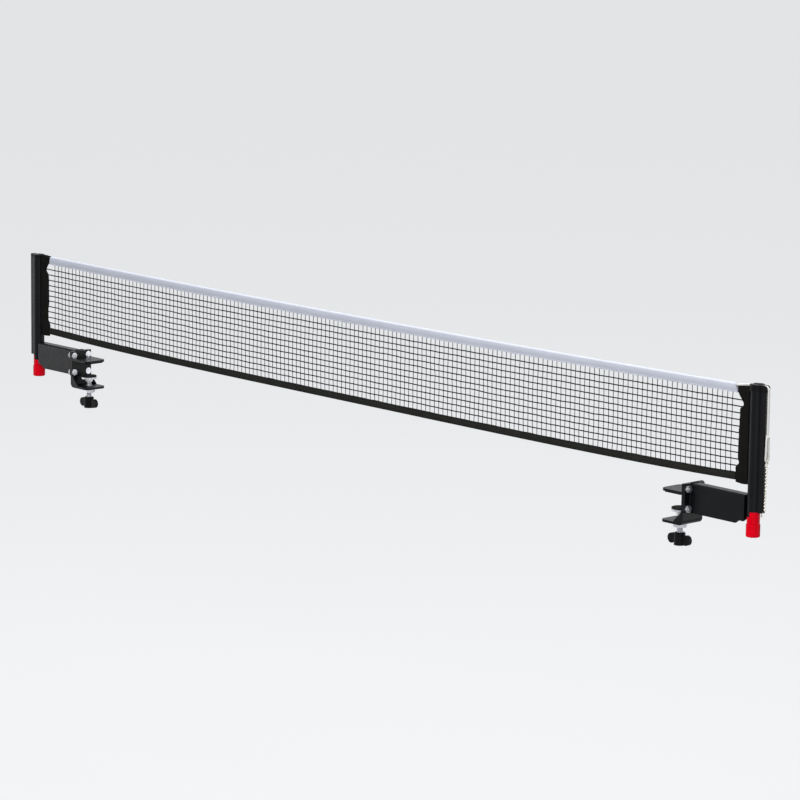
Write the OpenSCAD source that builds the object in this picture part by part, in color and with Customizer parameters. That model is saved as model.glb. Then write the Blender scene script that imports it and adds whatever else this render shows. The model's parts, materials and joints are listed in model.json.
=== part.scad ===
// Table tennis net set: a net on two posts, each post held by a clamp under the table's side edge.
// Origin: middle of the net line on the playing surface. +X runs along the net, +Z is up.
// Each side is drawn for +X, and the left one is its mirror image.

/* [Playing size] */
// Width of the table top, edge to edge
table_w = 1525; // [1500:1:1550]
// Thickness of the table top
table_t = 22; // [19:0.5:24]
// Reach of each post's outer face beyond the table's side edge
post_overhang = 152.5; // [145:0.5:160]
// Height of the net's top edge at its right end
net_top_right = 158; // [152:0.5:158.5]
// Height of the net's top edge at its left end
net_top_left = 154.5; // [152:0.5:156]
// Height of the net's top edge at mid-span
net_top_mid = 151; // [148:0.5:152]
// Height of the net's lower edge at its ends
net_foot_end = 9; // [6:0.5:12]
// Height of the net's lower edge at mid-span
net_foot_mid = 1.5; // [1:0.5:4]

/* [Post] */
// Outer diameter of the post's tube
tube_d = 20; // [18:0.5:24]
// Wall of the tube
tube_wall = 1.5; // [1.2:0.1:2]
// Distance from the tube's axis to the rail's outer face
rail_reach = 20; // [18:0.5:24]
// Width of the rail on the tube's outer side
rail_w = 7; // [6.8:0.1:8]
// Wall of the rail
rail_wall = 1; // [0.8:0.1:1.1]
// Height of the right tube's upper end above the playing surface
post_top = 156.5; // [153:0.5:158]
// How much lower the left tube ends
left_drop = 7; // [4:0.5:8]
// Depth of the tube's lower end below the playing surface
post_foot = 42; // [40:0.5:46]
// How much higher the rail side of the tube ends
foot_step = 8; // [5:0.5:9]

/* [Post cap] */
// Wall of the cap round the post
cap_wall = 1.2; // [1:0.1:1.6]
// Length of the cap's skirt down the post
cap_skirt = 5; // [4:0.5:8]
// Depth of the cord groove in the cap
groove_depth = 3.8; // [3:0.1:4.2]
// Thickness of the cap's roof under the groove
cap_roof = 1.2; // [1:0.1:2]
// Reach of the right cap's nose beyond the rail
cap_nose = 3; // [2.5:0.1:6]
// Depth of the left cap's plug in the tube
plug_depth = 8; // [5:0.5:12]
// Radius of the shoulder that the cord bends round
shoulder_r = 4; // [3:0.5:5]

/* [Height adjuster] */
// Diameter of the adjusting spindle
spindle_d = 8; // [6:0.5:8]
// Travel of the clamp up the post, which lowers the net
travel_up = 4; // [2:0.5:5]
// Travel of the clamp down the post, which raises the net
travel_down = 5; // [3:0.5:5]
// Length of the nut that guides the post
guide_h = 16; // [12:0.5:18]
// Depth of the red collar's lower end below the playing surface
collar_foot = 53; // [50:0.5:56]
// Diameter of the red collar
collar_d = 20; // [18:0.1:20.6]
// Diameter of the adjusting knob
knob_d = 22; // [20:0.5:22]
// Height of the adjusting knob
knob_h = 19.6; // [16:0.2:24]
// Number of grip flutes round the knob
knob_flutes = 12; // [6:1:16]

/* [Arm] */
// Width of the pressed arm
arm_w = 20; // [18:0.5:24]
// Depth of the arm's top below the playing surface
arm_drop = 9; // [8:0.5:11]
// Height of the arm
arm_h = 46; // [42:0.5:50]
// Sheet thickness of the arm
arm_sheet = 2.5; // [2:0.1:3]
// Outer radius of the arm's top bends
arm_bend = 4; // [3:0.5:6]
// Height of the step under the arm's outer end
arm_step = 5; // [3:0.5:7]

/* [Clamp] */
// Distance from a bolt's axis to the bracket's side edge
bolt_edge = 6; // [5.5:0.5:10]
// Thickness of the bracket's plate
bracket_t = 4; // [3:0.5:5]
// Depth of the jaws
jaw_depth = 44; // [40:1:60]
// Gap between the bracket and the table's side edge
web_gap = 3.5; // [2:0.5:6]
// Height of the frame rail that the jaws grip at rest
rail_grip = 24; // [20:0.5:30]
// Travel of the screw up from rest
grip_in = 8; // [4:0.5:10]
// Travel of the screw down from rest
grip_out = 8; // [4:0.5:10]
// Inner radius of the bracket's lower bend
bracket_bend = 4; // [3:0.5:6]
// Thickness of the rubber under the upper jaw
pad_t = 2; // [1.5:0.1:3]
// Diameter of the clamping screw
screw_d = 10; // [8:0.5:12]
// Diameter of the swivel shoe
shoe_d = 28; // [22:1:34]
// Thickness of the rubber on the shoe
shoe_pad_t = 2.5; // [1.5:0.1:3]
// Span of the wing knob
wing_span = 46; // [36:1:60]
// Height of the wing knob
wing_h = 20; // [16:0.5:26]

/* [Net] */
// Width of the fabric hem at each end of the net
hem_w = 28; // [20:0.5:30]
// Thickness of the hem
hem_t = 8; // [7:0.5:10]
// How far the hem's inner edge is drawn in between its ends
hem_waist = 5; // [0:0.5:5]
// How far the hem is drawn in further at the upper hook
hem_dip = 6.5; // [0:0.5:7]
// Height of the white tape
tape_h = 15; // [12:0.5:18]
// Height of the dark tape along the lower edge
foot_tape_h = 12; // [10:0.5:16]
// Thickness of one layer of tape
cloth_t = 1; // [0.8:0.1:1.4]
// Thickness of the netting
net_t = 1; // [0.8:0.1:1.4]
// Thickness of a thread, seen from the front
thread_w = 2; // [1:0.1:3]
// Rows of gaps in the netting
net_rows = 5; // [3:1:6]
// Columns of gaps in the netting
net_cols = 60; // [20:1:60]

/* [Cord and chain] */
// Diameter of the tension cord
cord_d = 3.8; // [3:0.1:4]
// Diameter of the chain's balls
ball_d = 4; // [3.5:0.1:4.2]
// Distance between the chain's balls
ball_pitch = 5.3; // [5.2:0.1:6]
// Balls outside the post, below the connector
balls_out = 14; // [10:1:15]
// Balls that hang free below the catch
balls_tail = 2; // [1:1:3]
// Length of the cord's loop between its knot and the connector
loop_len = 36; // [24:1:44]

/* [Hidden] */
$fn = 48;

// Clearances
run_fit = 0.05; // radial, between a turning shaft and its bore
slide_fit = 0.1; // radial, between pieces that slide in each other
seat = 0.3; // between a soft piece and its seat
face_gap = 0.1; // between faces that turn on each other
big = 60; // how far a cutter runs past what it cuts

// Post
outer_x = table_w / 2 + post_overhang;
axis_x = outer_x - rail_reach;
tube_r = tube_d / 2;
bore_r = tube_r - tube_wall;
rail_in = rail_w - 2 * rail_wall;
rail_corner = 1;
rail_foot = post_foot - foot_step;
step_x = 1;
cap_top = post_top + cap_roof + groove_depth;
groove_floor = post_top + cap_roof;
groove_w = cord_d + 0.5;
nose_floor = rail_reach + cap_wall + 0.7;
cord_r = cord_d / 2;
cord_rise = cord_r + slide_fit;
cord_top_z = groove_floor + cord_rise;
cord_out = nose_floor + cord_rise;
left_bend_r = 4;
left_cord_z = cord_top_z - left_drop;

// Height adjuster, from the foot of the post upwards
spigot_rise = 3;
flange_h = 2;
spigot_top = -rail_foot + spigot_rise;
flange_top = spigot_top + face_gap + flange_h;
guide_foot = flange_top + travel_down + 1;
guide_top = guide_foot + guide_h;
tongue_w = 5;
tongue_h = 10;
tongue_reach = 6.5;
slot_top = guide_foot + tongue_h + travel_up + 1;
knob_top = -collar_foot - 0.4;
knob_foot = knob_top - knob_h;
spindle_top = guide_top + travel_up + 4;
drive_r = 3;
drive_foot = knob_top - knob_h * 0.64;
head_h = 3;
head_r = 3.5;
tap_r = 2;

// Arm
arm_top = -arm_drop;
arm_foot = arm_top - arm_h;
arm_gap = 0.6;
arm_end = axis_x - tube_r - arm_gap;
end_plate_t = 3;
flange_t = 3;
web_x = table_w / 2 + web_gap;
flange_x = web_x + bracket_t;
arm_start = flange_x + flange_t;
bolt_d = 6;
nut_af = bolt_d * 5 / 3;
nut_h = 5;
nut_clear = 0.25;
bolt_y = arm_w / 2 + nut_af / 2 / cos(30) + nut_clear;
bolt_z = [arm_top - 8, arm_foot + 7];
bracket_w = 2 * (bolt_y + bolt_edge);

// Clamp, from the table top downwards
jaw_tip = web_x - jaw_depth;
upper_z = -table_t;
pad_z = upper_z - bracket_t - pad_t;
grip_z = pad_z - rail_grip;
disc_t = 3;
boss_h = 5;
boss_r = 7;
boss_z = grip_z - shoe_pad_t - disc_t - boss_h;
lower_z = boss_z - grip_out - 0.5;
screw_x = web_x - jaw_depth / 2;
bush_r = 8;
bush_h = 8;
bush_foot = lower_z - bracket_t - bush_h;
wing_top = bush_foot - grip_in - 0.5;
tip_r = 3;
tip_h = 4.6;
gusset_t = 3;
gusset_h = 16;

// Net
hem_out = axis_x - tube_r - seat;
hem_in = hem_out - hem_w;
tape_end = hem_in - seat;
hem_foot = 7;
hem_cut = axis_x - tube_r - cap_wall - slide_fit - seat - 0.2;
hook_z = [36, 127];
hook_l = 8;
hook_h = 10;
hook_t = 3;
slit = net_t + 2 * seat;
cord_bore = cord_r + seat;
tape_r = cord_bore + cloth_t;
mesh_tuck = 13;
mesh_lap = 4;
stations = 24;

function net_top(x) = net_top_mid + ((net_top_right + net_top_left) / 2 - net_top_mid) * pow(x / tape_end, 2)
    + (net_top_right - net_top_left) / 2 * x / tape_end;
function net_foot(x) = net_foot_mid + (net_foot_end - net_foot_mid) * pow(abs(x) / tape_end, 4);
function cord_z(x) = net_top(x) - tape_r;
right_cord = [cord_z(tape_end), cord_top_z];
left_cord = [cord_z(-tape_end), left_cord_z];

// Chain, counted upwards from the ball that lies in front of the catch
link_r = 0.6;
catch_w = 2;
entry_d = ball_d + 0.6;
bell_r = 2.9;
bell_h = 5.4;
eye_wire = 0.7;
eye_r = cord_r + eye_wire + 0.3;
eye_rise = 6;
loop_x = axis_x + cord_out;
catch_z = -rail_foot + 6;
catch_x = outer_x + ball_d / 2 + face_gap;
chain_tilt = asin((loop_x - catch_x) / (ball_pitch * (balls_out - 1) + eye_rise));
function chain_at(i) = [catch_x + sin(chain_tilt) * ball_pitch * i, 0, catch_z + cos(chain_tilt) * ball_pitch * i];
chain_points = concat(
    [for (i = [balls_out - 1:-1:0]) chain_at(i)],
    [for (i = [0:balls_tail]) [catch_x - ball_pitch, 0, catch_z - ball_pitch * i]]
);
eye_z = chain_at(balls_out - 1).z + eye_rise * cos(chain_tilt);
knot_z = eye_z + loop_len;
knot_r = 3.6;
knot_h = 9;

// ---------- shared shapes ----------

module left_side() mirror([1, 0, 0]) children();

module on_axis() translate([axis_x, 0, 0]) children();

// A plate drawn in X and Z, and as thick as w in Y
module along_y(w) rotate([90, 0, 0]) linear_extrude(w, center = true) children();

// A section drawn in Y and Z, extruded from x0 to x1
module along_x(x0, x1) translate([x0, 0, 0]) rotate([90, 0, 90]) linear_extrude(x1 - x0) children();

// A rectangle from a to b with corner radii at its right and left upper corners
module top_rounded(a, b, r_right, r_left) {
    r_max = max(r_right, r_left);
    translate(a) square([b.x - a.x, b.y - a.y - r_max]);
    translate([a.x + r_left, a.y]) square([b.x - a.x - r_left - r_right, b.y - a.y]);
    translate([a.x, a.y]) square([r_left, b.y - a.y - r_left]);
    translate([b.x - r_right, a.y]) square([r_right, b.y - a.y - r_right]);
    translate([b.x - r_right, b.y - r_right]) circle(r_right);
    translate([a.x + r_left, b.y - r_left]) circle(r_left);
}

// A centred rectangle with four round corners
module round_plate(size, r) {
    square([size.x - 2 * r, size.y], center = true);
    square([size.x, size.y - 2 * r], center = true);
    for (sx = [-1, 1], sy = [-1, 1])
        translate([sx * (size.x / 2 - r), sy * (size.y / 2 - r)]) circle(r);
}

// The rail's outline, with round outer corners
module rail_outline(w, reach, r) {
    translate([0, -w / 2]) square([reach - r, w]);
    translate([0, -w / 2 + r]) square([reach, w - 2 * r]);
    for (s = [-1, 1]) translate([reach - r, s * (w / 2 - r)]) circle(r);
}

// The post's outline, grown by g
module post_outline(g = 0) {
    circle(tube_r + g);
    rail_outline(rail_w + 2 * g, rail_reach + g, rail_corner);
}

// Joins rings of points, which all have the same count, to one closed solid
module loft(rings) {
    n = len(rings[0]);
    m = len(rings);
    polyhedron(
        points = [for (ring = rings) each ring],
        faces = concat(
            [[for (i = [0:n - 1]) i]],
            [for (k = [0:m - 2], i = [0:n - 1]) [k * n + i, (k + 1) * n + (i + 1) % n, k * n + (i + 1) % n]],
            [for (k = [0:m - 2], i = [0:n - 1]) [k * n + i, (k + 1) * n + i, (k + 1) * n + (i + 1) % n]],
            [[for (i = [n - 1:-1:0]) (m - 1) * n + i]]
        ),
        convexity = 6
    );
}

function unit(v) = v / norm(v);

// Rings of a round tube along a path that stays in the plane with the given normal.
// turn lets two runs in different planes meet without a twist.
function tube_rings(path, r, normal, turn, sides = 8) = [
    for (k = [0:len(path) - 1])
        let (t = unit(path[min(k + 1, len(path) - 1)] - path[max(k - 1, 0)]), u = cross(t, normal))
            [for (i = [0:sides - 1]) let (a = 360 * i / sides + turn) path[k] + r * (cos(a) * normal + sin(a) * u)]
];

// ---------- post ----------

module post_tube(top) on_axis() color("#2b2d31") difference() {
    translate([0, 0, -post_foot]) linear_extrude(top + post_foot) difference() {
        post_outline();
        circle(bore_r);
        translate([0, -rail_in / 2]) square([rail_reach - rail_wall, rail_in]);
    }
    // The rail side ends higher than the inner side
    translate([step_x, -big / 2, -post_foot - 1]) cube([big, big, foot_step + 1]);
    // Slot for the arm's tongue, open at the foot
    translate([-tube_r - 1, -tongue_w / 2 - seat, -post_foot - 1])
        cube([tube_r, tongue_w + 2 * seat, slot_top + post_foot + 1]);
    // Keyhole that catches the chain between two balls
    translate([rail_reach - rail_wall - 1, -catch_w / 2, -rail_foot - 1])
        cube([rail_wall + 2, catch_w, catch_z + rail_foot + 1 + catch_w / 2]);
    translate([rail_reach - rail_wall - 1, -entry_d / 2, -rail_foot - 1])
        cube([rail_wall + 2, entry_d, 1 + entry_d / 3]);
}

module post_cap_right() on_axis() color("#202124") difference() {
    intersection() {
        translate([0, 0, post_top - cap_skirt]) linear_extrude(cap_top - post_top + cap_skirt) {
            circle(tube_r + cap_wall + slide_fit);
            rail_outline(rail_w + 2 * (cap_wall + slide_fit), rail_reach + cap_nose, 2);
        }
        along_y(big) top_rounded(
            [-tube_r - cap_wall - slide_fit, post_top - cap_skirt - 1], [rail_reach + cap_nose, cap_top],
            shoulder_r + 1.5, 2
        );
    }
    translate([0, 0, post_top - cap_skirt - 1]) linear_extrude(cap_skirt + 1) post_outline(slide_fit);
    // Cord groove over the top and down the nose
    along_y(groove_w) difference() {
        translate([-big / 2, post_top - cap_skirt - 1]) square([big * 1.5, big]);
        top_rounded([-big, post_top - cap_skirt - 2], [nose_floor, groove_floor], shoulder_r, 0.01);
    }
}

// The left cap is a lid with a plug, and holds the cord's end in a hole down its middle
module post_cap_left() translate([0, 0, -left_drop]) left_side() on_axis() color("#202124") difference() {
    intersection() {
        union() {
            translate([0, 0, post_top]) linear_extrude(cap_top - post_top) post_outline();
            translate([0, 0, post_top - plug_depth]) cylinder(r = bore_r - slide_fit, h = plug_depth + 1);
        }
        along_y(big) top_rounded([-tube_r, post_top - plug_depth - 1], [rail_reach, cap_top], 2, 2);
    }
    along_y(groove_w) difference() {
        translate([-big, post_top - plug_depth - 1]) square([big + cord_rise, big]);
        top_rounded([-big - 1, post_top - plug_depth - 2], [-cord_rise, groove_floor], left_bend_r - cord_rise, 0.01);
    }
}

module net_hooks() color("#2b2d31") for (z = hook_z) difference() {
    translate([axis_x - tube_r, 0, z]) along_y(hook_t) {
        translate([-hook_l, -hook_h / 2]) square([hook_l + 1, 3]);
        translate([-hook_l, -hook_h / 2]) square([3, hook_h - 1.5]);
        translate([-hook_l + 1.5, hook_h / 2 - 1.5]) circle(1.5);
    }
    on_axis() translate([0, 0, z - big / 2]) cylinder(r = tube_r, h = big);
}

// ---------- height adjuster ----------

module end_plug() on_axis() color("#d8101f") difference() {
    union() {
        translate([0, 0, -post_foot]) cylinder(r = bore_r - slide_fit, h = spigot_top + post_foot);
        translate([0, 0, -collar_foot]) cylinder(d = collar_d, h = collar_foot - post_foot);
        intersection() {
            translate([0, 0, -post_foot - 1]) cylinder(d = collar_d, h = foot_step + 1);
            translate([step_x, -big / 2, -post_foot - 1]) cube([big, big, foot_step + 1]);
        }
    }
    translate([0, 0, -collar_foot - 1]) cylinder(r = spindle_d / 2 + run_fit, h = big);
}

module height_knob() on_axis() color("#d8101f") difference() {
    rotate_extrude() difference() {
        union() {
            translate([0, knob_foot + 2]) square([knob_d / 2, knob_h - 3]);
            translate([0, knob_foot]) square([knob_d / 2 - 2, knob_h]);
            translate([knob_d / 2 - 2, knob_foot + 2]) circle(2);
            translate([knob_d / 2 - 1, knob_top - 1]) circle(1);
            translate([0, knob_top - 2]) square([knob_d / 2 - 1, 2]);
        }
        translate([-big, knob_foot - 1]) square([big, knob_h + 2]);
    }
    for (i = [0:knob_flutes - 1]) rotate([0, 0, 360 * (i + 0.5) / knob_flutes])
        translate([knob_d / 2 + 1, 0, knob_foot - 1]) cylinder(r = 1.6, h = knob_h - 3, $fn = 24);
    translate([0, 0, drive_foot]) cylinder(r = drive_r + run_fit, h = big);
    translate([0, 0, knob_foot - 1]) cylinder(r = tap_r + 0.2, h = big / 2);
    translate([0, 0, knob_foot - 1]) cylinder(r = head_r + 0.3, h = head_h + 1.5);
}

module height_spindle() on_axis() color("#b9bcc0") difference() {
    union() {
        translate([0, 0, drive_foot + face_gap]) cylinder(r = drive_r, h = knob_top - drive_foot + 1);
        translate([0, 0, knob_top + face_gap]) cylinder(d = spindle_d, h = spindle_top - knob_top - 1 - face_gap);
        translate([0, 0, spindle_top - 1]) cylinder(d1 = spindle_d, d2 = spindle_d - 2, h = 1);
        translate([0, 0, flange_top - flange_h]) cylinder(r = bore_r - 2, h = flange_h);
    }
    translate([0, 0, drive_foot - 1]) cylinder(r = tap_r + run_fit, h = 8);
}

module knob_screw() on_axis() color("#b9bcc0") difference() {
    union() {
        translate([0, 0, knob_foot + 0.5]) cylinder(r = head_r, h = head_h);
        translate([0, 0, knob_foot + 0.5]) cylinder(r = tap_r, h = drive_foot - knob_foot + 5.5);
    }
    translate([0, 0, knob_foot - 0.5]) cylinder(r = 1.6, h = 2.6, $fn = 6);
}

module guide_nut() on_axis() color("#9a9da1") difference() {
    translate([0, 0, guide_foot]) cylinder(r = bore_r - slide_fit, h = guide_h);
    translate([0, 0, guide_foot - 1]) cylinder(r = spindle_d / 2 + run_fit, h = guide_h + 2);
    translate([-bore_r - 1, -tongue_w / 2, guide_foot - 1]) cube([bore_r + 1 - tongue_reach, tongue_w, tongue_h + 1]);
}

// ---------- arm ----------

module arm_tongue() color("#232427") {
    plate_h = arm_h - arm_sheet - arm_step - 4;
    corner = arm_bend - arm_sheet + 0.3;
    along_x(arm_end - end_plate_t, arm_end) top_rounded(
        [-arm_w / 2 + arm_sheet, arm_top - arm_sheet - plate_h], [arm_w / 2 - arm_sheet, arm_top - arm_sheet],
        corner, corner
    );
    translate([arm_end - end_plate_t, -tongue_w / 2, guide_foot])
        cube([axis_x - tongue_reach - arm_end + end_plate_t, tongue_w, tongue_h]);
}

module arm_channel() color("#1d1e21") difference() {
    along_x(arm_start, arm_end) difference() {
        top_rounded([-arm_w / 2, arm_foot], [arm_w / 2, arm_top], arm_bend, arm_bend);
        top_rounded(
            [-arm_w / 2 + arm_sheet, arm_foot - 1], [arm_w / 2 - arm_sheet, arm_top - arm_sheet],
            arm_bend - arm_sheet, arm_bend - arm_sheet
        );
    }
    // The lower edge steps up towards the post
    along_y(big) polygon([
        [arm_end - 18, arm_foot - 1], [arm_end - 17, arm_foot], [arm_end - 10, arm_foot + arm_step],
        [arm_end + 1, arm_foot + arm_step + 2.5], [arm_end + 1, arm_foot - 1]
    ]);
}

module arm_flange() color("#1d1e21") difference() {
    along_x(flange_x, flange_x + flange_t) translate([0, arm_top - arm_h / 2])
        round_plate([bracket_w, arm_h], 4);
    arm_bolt_holes(flange_x - 1, flange_t + 2);
}

module arm_bolt_holes(x, l) {
    for (y = [-bolt_y, bolt_y], z = bolt_z) translate([x, y, z]) rotate([0, 90, 0])
        cylinder(d = bolt_d + 2 * slide_fit, h = l);
}

module arm_bolts() color("#b9bcc0") for (y = [-bolt_y, bolt_y], z = bolt_z)
    translate([web_x, y, z]) rotate([0, 90, 0]) {
        cylinder(d1 = 2 * bolt_d - 0.4, d2 = bolt_d, h = 3);
        cylinder(d = bolt_d, h = bracket_t + flange_t + nut_h + 1.5);
    }

module arm_nuts() color("#b9bcc0") for (y = [-bolt_y, bolt_y], z = bolt_z)
    translate([arm_start, y, z]) rotate([0, 90, 0]) difference() {
        rotate([0, 0, 30]) cylinder(d = nut_af / cos(30), h = nut_h, $fn = 6);
        translate([0, 0, -1]) cylinder(r = bolt_d / 2 + run_fit, h = nut_h + 2);
    }

// ---------- clamp ----------

module bracket_outline() {
    bend = [web_x - bracket_bend, lower_z + bracket_bend];
    translate([web_x, bend.y]) square([bracket_t, arm_top - bend.y]);
    translate([jaw_tip, lower_z - bracket_t]) square([bend.x - jaw_tip, bracket_t]);
    translate([jaw_tip, upper_z - bracket_t]) square([jaw_depth + 1, bracket_t]);
    intersection() {
        translate(bend) difference() {
            circle(bracket_bend + bracket_t);
            circle(bracket_bend);
        }
        translate([bend.x, bend.y - big]) square([big, big]);
    }
}

module clamp_bracket() color("#1d1e21") difference() {
    union() {
        intersection() {
            along_y(bracket_w) bracket_outline();
            translate([jaw_tip, 0, -big * 3]) linear_extrude(big * 4) {
                translate([8, -bracket_w / 2]) square([big * 2, bracket_w]);
                translate([0, -bracket_w / 2 + 8]) square([big * 2, bracket_w - 16]);
                for (s = [-1, 1]) translate([8, s * (bracket_w / 2 - 8)]) circle(8);
            }
        }
        // Gussets in the lower corner
        for (s = [-1, 1]) translate([0, s * (bracket_w - gusset_t) / 2, 0]) along_y(gusset_t) polygon([
            [web_x + 1, lower_z + gusset_h], [web_x - 1, lower_z + gusset_h],
            [web_x - gusset_h, lower_z + 1], [web_x - gusset_h, lower_z - 1],
            [web_x - bracket_bend, lower_z - 1], [web_x + 1, lower_z + bracket_bend]
        ]);
    }
    translate([screw_x, 0, lower_z - bracket_t - 1]) cylinder(r = bush_r, h = bracket_t + 2);
    arm_bolt_holes(web_x - 1, bracket_t + 2);
    for (y = [-bolt_y, bolt_y], z = bolt_z) translate([web_x - 0.01, y, z]) rotate([0, 90, 0])
        cylinder(d1 = 2 * bolt_d, d2 = bolt_d + 2 * slide_fit, h = 3);
}

module upper_jaw_pad() color("#18191a") translate([screw_x, 0, pad_z]) linear_extrude(pad_t)
    round_plate([jaw_depth - 6, bracket_w - 6], 5);

module screw_bush() color("#9a9da1") translate([screw_x, 0, 0]) difference() {
    union() {
        translate([0, 0, bush_foot]) cylinder(r = bush_r + 3, h = bush_h, $fn = 6);
        translate([0, 0, bush_foot]) cylinder(r = bush_r - run_fit, h = bush_h + bracket_t);
    }
    translate([0, 0, bush_foot - 1]) cylinder(r = screw_d / 2 + run_fit, h = bush_h + bracket_t + 2);
}

module clamp_screw() color("#b9bcc0") translate([screw_x, 0, 0]) {
    top = boss_z - face_gap;
    foot = wing_top - wing_h + 2;
    translate([0, 0, foot]) cylinder(d = screw_d, h = top - 1 - foot);
    translate([0, 0, top - 1]) cylinder(d1 = screw_d, d2 = screw_d - 2, h = 1);
    translate([0, 0, top - 1]) cylinder(r = tip_r, h = tip_h + 1);
}

module wing_knob() color("#202124") translate([screw_x, 0, 0]) difference() {
    union() {
        translate([0, 0, wing_top - wing_h]) cylinder(r = screw_d / 2 + 4, h = wing_h - 1.5);
        translate([0, 0, wing_top - 1.5]) cylinder(r1 = screw_d / 2 + 4, r2 = screw_d / 2 + 2.5, h = 1.5);
        along_y(6.5) {
            translate([0, wing_top - wing_h * 0.55]) square([wing_span - wing_h * 0.8, wing_h * 0.5], center = true);
            for (s = [-1, 1]) translate([s * (wing_span / 2 - wing_h * 0.4), wing_top - wing_h * 0.55])
                circle(wing_h * 0.4);
        }
    }
    translate([0, 0, wing_top - wing_h + 2 - 0.05]) cylinder(r = screw_d / 2 + run_fit, h = big);
}

module swivel_shoe() color("#b9bcc0") translate([screw_x, 0, boss_z]) difference() {
    union() {
        cylinder(r = boss_r, h = boss_h + 1);
        translate([0, 0, boss_h]) cylinder(d = shoe_d, h = disc_t);
    }
    translate([0, 0, -1]) cylinder(r = tip_r + run_fit, h = boss_h + 1.2);
}

module shoe_pad() color("#18191a") translate([screw_x, 0, grip_z - shoe_pad_t])
    cylinder(d = shoe_d, h = shoe_pad_t);

// ---------- net ----------

// Height of the hem's top edge, below a cord that runs from height cord[0] at the tape to cord[1] at the post
function hem_top(x, cord) = cord[0] - cord_r - seat + (cord[1] - cord[0]) * (x - tape_end) / (hem_out - tape_end);

// The hem's inner edge is drawn towards the post between its ends, and further at each hook
waist = [[28, 0], [36, 1], [60, 0.8], [100, 1.15], [135, 1], [148, 0]];
function dip(z) = hem_waist * lookup(z, waist)
    + hem_dip * max(0.3 * exp(-pow((z - hook_z[0]) / 4, 2)), exp(-pow((z - hook_z[1]) / 6, 2)));

module side_hem(cord, corner) color("#262322") difference() {
    along_y(hem_t) polygon(concat(
        [for (i = [0:48]) let (z = hem_foot + (hem_top(hem_in, cord) - hem_foot) * i / 48) [hem_in + dip(z), z]],
        [
            [hem_cut, hem_top(hem_cut, cord)], [hem_cut, corner], [hem_out, corner],
            [hem_out, hem_foot - 1]
        ],
        [for (i = [1:5]) [hem_out - hem_w * i / 6, hem_foot - 1 - sin(180 * i / 6)]]
    ));
    // Pockets for the hooks, open towards the post
    for (z = hook_z) translate([hem_out - hook_l, -hook_t / 2 - seat, z - hook_h / 2 - seat])
        cube([hook_l + 1, hook_t + 2 * seat, hook_h + 2 * seat]);
    // Slit for the netting
    translate([hem_in - 1, -slit / 2, net_foot_mid]) cube([mesh_tuck + 1 + seat, slit, net_top_right]);
}

// Upper and lower ends of a column of gaps, and the outline of one gap
function mesh_hi(x) = net_top(x) - tape_h + 1;
function mesh_lo(x) = net_foot(x) + foot_tape_h - 1;
function mesh_x(c) = -tape_end + 2 * tape_end * c / net_cols;
function mesh_z(x, r) = mesh_lo(x) + (mesh_hi(x) - mesh_lo(x)) * r / net_rows;

module net_mesh() color("#1c1c1e") along_y(net_t) difference() {
    polygon(concat(
        [for (c = [0:net_cols]) let (x = mesh_x(c) + sign(c - net_cols / 2) * mesh_tuck * (c % net_cols == 0 ? 1 : 0))
            [x, mesh_hi(x) + mesh_lap]],
        [for (c = [net_cols:-1:0]) let (x = mesh_x(c) + sign(c - net_cols / 2) * mesh_tuck * (c % net_cols == 0 ? 1 : 0))
            [x, mesh_lo(x) - mesh_lap]]
    ));
    for (c = [0:net_cols - 1], r = [0:net_rows - 1])
        let (x0 = mesh_x(c) + thread_w / 2, x1 = mesh_x(c + 1) - thread_w / 2, w = thread_w / 2)
            polygon([
                [x0, mesh_z(x0, r) + w], [x1, mesh_z(x1, r) + w],
                [x1, mesh_z(x1, r + 1) - w], [x0, mesh_z(x0, r + 1) - w]
            ]);
}

// A strip that follows the net's upper edge, from height lo to height hi measured from it
module top_strip(lo, hi, over = 0) polygon(concat(
    [for (k = [0:stations]) let (x = (tape_end + over) * (2 * k / stations - 1)) [x, net_top(x) + lo]],
    [for (k = [stations:-1:0]) let (x = (tape_end + over) * (2 * k / stations - 1)) [x, net_top(x) + hi]]
));

// A round tube along the cord's line in the tape
module cord_sleeve(r, sides, over = 0) loft(tube_rings(
    [for (k = [0:stations]) let (x = (tape_end + over) * (2 * k / stations - 1)) [x, 0, cord_z(x)]],
    r, [0, 1, 0], 0, sides
));

// The white tape is folded over the cord and the netting's upper edge
module top_tape() color("#f2f1f5") difference() {
    union() {
        along_y(slit + 2 * cloth_t) top_strip(-tape_h, -tape_r);
        cord_sleeve(tape_r, 14);
    }
    cord_sleeve(cord_bore, 12, 1);
    along_y(slit) top_strip(-tape_h - 1, -tape_r, 1);
}

// A strip that follows the net's lower edge, from height lo to height hi above it
module foot_strip(lo, hi, over = 0) polygon(concat(
    [for (k = [0:stations]) let (x = (tape_end + over) * (2 * k / stations - 1)) [x, net_foot(x) + lo]],
    [for (k = [stations:-1:0]) let (x = (tape_end + over) * (2 * k / stations - 1)) [x, net_foot(x) + hi]]
));

// The dark tape is folded up round the lower edge of the netting
module foot_tape() color("#2a2a2d") difference() {
    along_y(slit + 2 * cloth_t) foot_strip(0, foot_tape_h);
    along_y(slit) foot_strip(cloth_t + 0.4, foot_tape_h + 2, 1);
}

// ---------- cord and chain ----------

over_cap = axis_x - tube_r - cap_wall - slide_fit;
bend_r = shoulder_r + cord_rise;
bend_c = [loop_x - bend_r, cord_top_z - bend_r];
left_knot_z = post_top - left_drop - plug_depth - knot_h / 2;
left_c = [-axis_x + left_bend_r, left_cord_z - left_bend_r];

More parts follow.
